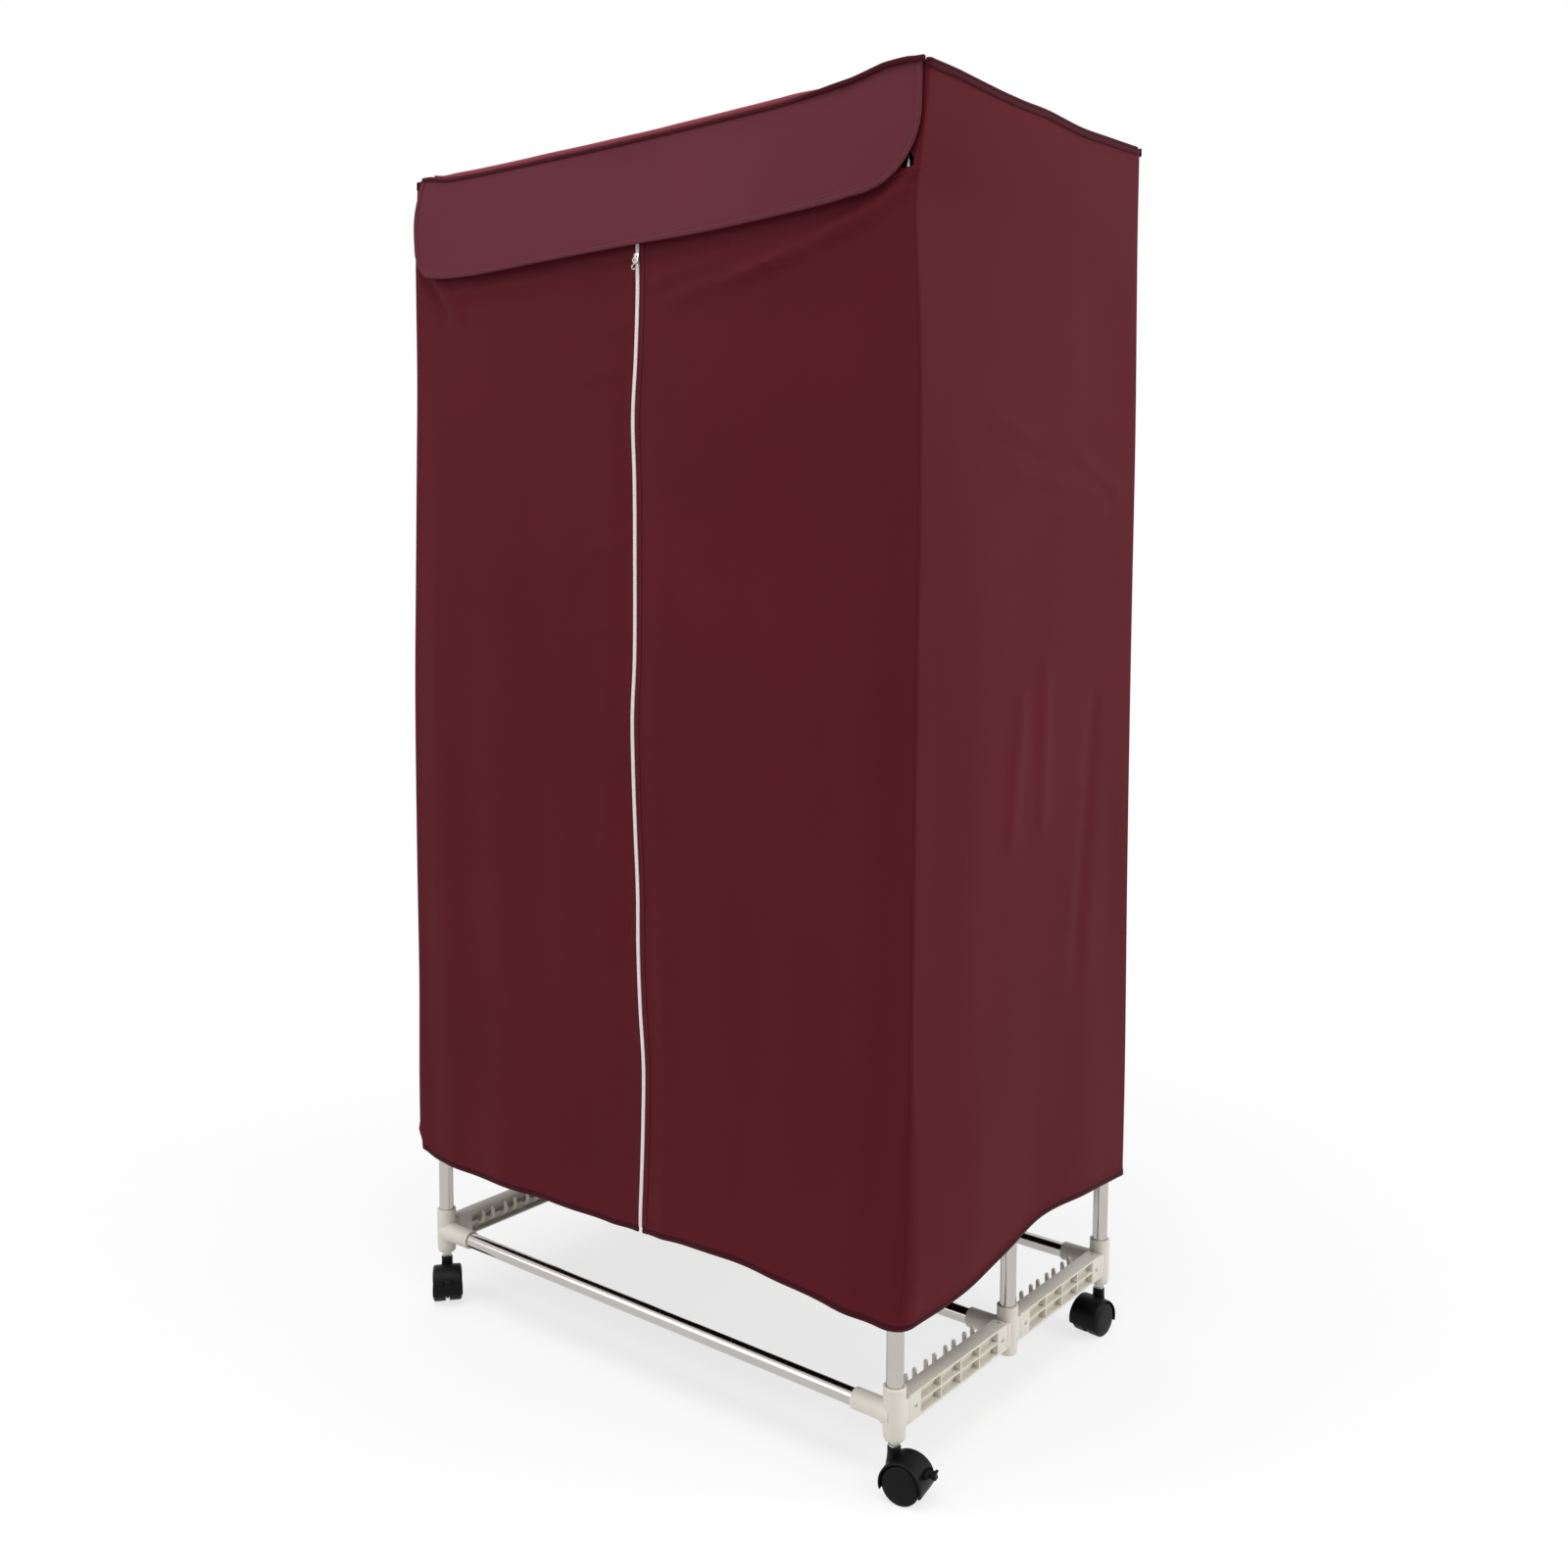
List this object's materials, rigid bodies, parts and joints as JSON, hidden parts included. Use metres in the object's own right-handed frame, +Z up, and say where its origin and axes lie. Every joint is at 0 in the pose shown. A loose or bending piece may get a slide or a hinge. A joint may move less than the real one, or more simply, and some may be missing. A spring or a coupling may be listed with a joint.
{
  "type": "portable clothes dryer",
  "caption": "Wardrobe-shaped clothes dryer on castors: steel tube frame, moulded connectors and rack arms, zipped cloth cover with a front flap, fan heater on the base rails.",
  "frame": {"origin": "on the floor, under the middle of the dryer's outer box", "axes": "+Z up, -Y the zipped front, +X to the right seen from the front"},
  "size_m": [0.9532, 0.6314, 1.7147],
  "materials": {
    "steel_tube": "polished stainless steel tube",
    "ivory_plastic": "ivory moulded plastic, satin",
    "castor_plastic": "black moulded nylon, satin",
    "castor_wheel": "black moulded nylon wheel",
    "burgundy_cloth": "burgundy woven polyester with a soft sheen",
    "zip_nylon": "white nylon zip",
    "plated_metal": "nickel plated",
    "heater_plastic": "white moulded plastic",
    "dark_plastic": "dark moulded plastic",
    "heating_fins": "pressed aluminium fins",
    "motor_steel": "bare steel can"
  },
  "bodies": {
    "frame": {"back_panel": "burgundy_cloth", "base_arm_front_left": "ivory_plastic", "base_arm_front_right": "ivory_plastic", "base_arm_rear_left": "ivory_plastic", "base_arm_rear_right": "ivory_plastic", "base_connector_front_left": "ivory_plastic", "base_connector_front_right": "ivory_plastic", "base_connector_mid_left": "ivory_plastic", "base_connector_mid_right": "ivory_plastic", "base_connector_rear_left": "ivory_plastic", "base_connector_rear_right": "ivory_plastic", "base_rail_front": "steel_tube", "base_rail_mid": "steel_tube", "base_rail_rear": "steel_tube", "garment_rail_front": "steel_tube", "garment_rail_mid": "steel_tube", "garment_rail_rear": "steel_tube", "heater_cord_gland": "dark_plastic", "heater_element": "heating_fins", "heater_grille": "heater_plastic", "heater_housing": "heater_plastic", "heater_motor": "motor_steel", "post_front_left": "steel_tube", "post_front_right": "steel_tube", "post_mid_left": "steel_tube", "post_mid_right": "steel_tube", "post_rear_left": "steel_tube", "post_rear_right": "steel_tube", "side_panel_left": "burgundy_cloth", "side_panel_right": "burgundy_cloth", "top_arm_front_left": "ivory_plastic", "top_arm_front_right": "ivory_plastic", "top_arm_rear_left": "ivory_plastic", "top_arm_rear_right": "ivory_plastic", "top_connector_front_left": "ivory_plastic", "top_connector_front_right": "ivory_plastic", "top_connector_mid_left": "ivory_plastic", "top_connector_mid_right": "ivory_plastic", "top_connector_rear_left": "ivory_plastic", "top_connector_rear_right": "ivory_plastic", "top_panel": "burgundy_cloth"},
    "leaf_left": {"front_leaf_left": "burgundy_cloth", "zip_left": "zip_nylon"},
    "leaf_right": {"front_leaf_right": "burgundy_cloth", "zip_right": "zip_nylon"},
    "flap": {"front_flap": "burgundy_cloth"},
    "slider": {"zip_slider": "plated_metal"},
    "pull": {"zip_pull": "plated_metal"},
    "impeller": {"heater_impeller": "dark_plastic"},
    "timer_knob": {"heater_timer_knob": "heater_plastic"},
    "castor_front_left": {"castor_swivel_front_left": "castor_plastic"},
    "wheels_front_left": {"castor_wheels_front_left": "castor_wheel"},
    "castor_rear_left": {"castor_swivel_rear_left": "castor_plastic"},
    "wheels_rear_left": {"castor_wheels_rear_left": "castor_wheel"},
    "brake_left": {"castor_brake_left": "castor_plastic"},
    "castor_front_right": {"castor_swivel_front_right": "castor_plastic"},
    "wheels_front_right": {"castor_wheels_front_right": "castor_wheel"},
    "castor_rear_right": {"castor_swivel_rear_right": "castor_plastic"},
    "wheels_rear_right": {"castor_wheels_rear_right": "castor_wheel"},
    "brake_right": {"castor_brake_right": "castor_plastic"}
  },
  "joints": [
    {"name": "swivel_front_left", "type": "hinge", "parent": "frame", "child": "castor_front_left", "pos_m": [-0.42628, -0.26938, 0], "axis": [0, 0, 1], "continuous": true},
    {"name": "roll_front_left", "type": "hinge", "parent": "castor_front_left", "child": "wheels_front_left", "pos_m": [-0.41346, -0.27976, 0.025], "axis": [0.6293, 0.7771, 0], "continuous": true},
    {"name": "swivel_front_right", "type": "hinge", "parent": "frame", "child": "castor_front_right", "pos_m": [0.41872, -0.26938, 0], "axis": [0, 0, 1], "continuous": true},
    {"name": "roll_front_right", "type": "hinge", "parent": "castor_front_right", "child": "wheels_front_right", "pos_m": [0.43497, -0.26651, 0.025], "axis": [-0.1736, 0.9848, 0], "continuous": true},
    {"name": "swivel_rear_left", "type": "hinge", "parent": "frame", "child": "castor_rear_left", "pos_m": [-0.42628, 0.27862, 0], "axis": [0, 0, 1], "continuous": true},
    {"name": "roll_rear_left", "type": "hinge", "parent": "castor_rear_left", "child": "wheels_rear_left", "pos_m": [-0.44179, 0.28427, 0.025], "axis": [-0.342, -0.9397, 0], "continuous": true},
    {"name": "swivel_rear_right", "type": "hinge", "parent": "frame", "child": "castor_rear_right", "pos_m": [0.41872, 0.27862, 0], "axis": [0, 0, 1], "continuous": true},
    {"name": "roll_rear_right", "type": "hinge", "parent": "castor_rear_right", "child": "wheels_rear_right", "pos_m": [0.41728, 0.26219, 0.025], "axis": [0.9962, -0.0872, 0], "continuous": true},
    {"name": "brake_left_press", "type": "hinge", "parent": "castor_front_left", "child": "brake_left", "pos_m": [-0.39074, -0.29816, 0.04055], "axis": [0.6293, 0.7771, 0], "range_deg": [0, 22]},
    {"name": "brake_right_press", "type": "hinge", "parent": "castor_front_right", "child": "brake_right", "pos_m": [0.46376, -0.26143, 0.04055], "axis": [-0.1736, 0.9848, 0], "range_deg": [0, 22]},
    {"name": "zip_slide", "type": "slide", "parent": "leaf_left", "child": "slider", "axis": [0, 0, -1], "range_m": [0, 1.3]},
    {"name": "leaf_left_hinge", "type": "hinge", "parent": "frame", "child": "leaf_left", "pos_m": [-0.44508, -0.28818, 0], "axis": [0, 0, -1], "range_deg": [0, 70]},
    {"name": "leaf_right_hinge", "type": "hinge", "parent": "frame", "child": "leaf_right", "pos_m": [0.43752, -0.28818, 0], "axis": [0, 0, 1], "range_deg": [0, 70]},
    {"name": "flap_hinge", "type": "hinge", "parent": "frame", "child": "flap", "pos_m": [-0.00378, -0.29008, 1.7112], "axis": [-1, 0, 0], "range_deg": [0, 262]},
    {"name": "pull_swing", "type": "hinge", "parent": "slider", "child": "pull", "pos_m": [-0.00378, -0.29178, 1.544], "axis": [-1, 0, 0], "range_deg": [0, 110]},
    {"name": "timer_turn", "type": "hinge", "parent": "frame", "child": "timer_knob", "pos_m": [0.12622, 0.14162, 0.1375], "axis": [1, 0, 0], "range_deg": [0, 300]},
    {"name": "impeller_spin", "type": "hinge", "parent": "frame", "child": "impeller", "pos_m": [-0.00378, 0.14162, 0.1156], "axis": [0, 0, 1], "continuous": true}
  ],
  "couplings": [
    {"joint": "leaf_right_hinge", "follows": "leaf_left_hinge", "ratio": 1},
    {"joint": "flap_hinge", "follows": "leaf_left_hinge", "ratio": 3.74},
    {"joint": "zip_slide", "follows": "leaf_left_hinge", "m_per_rad": 1.06}
  ]
}
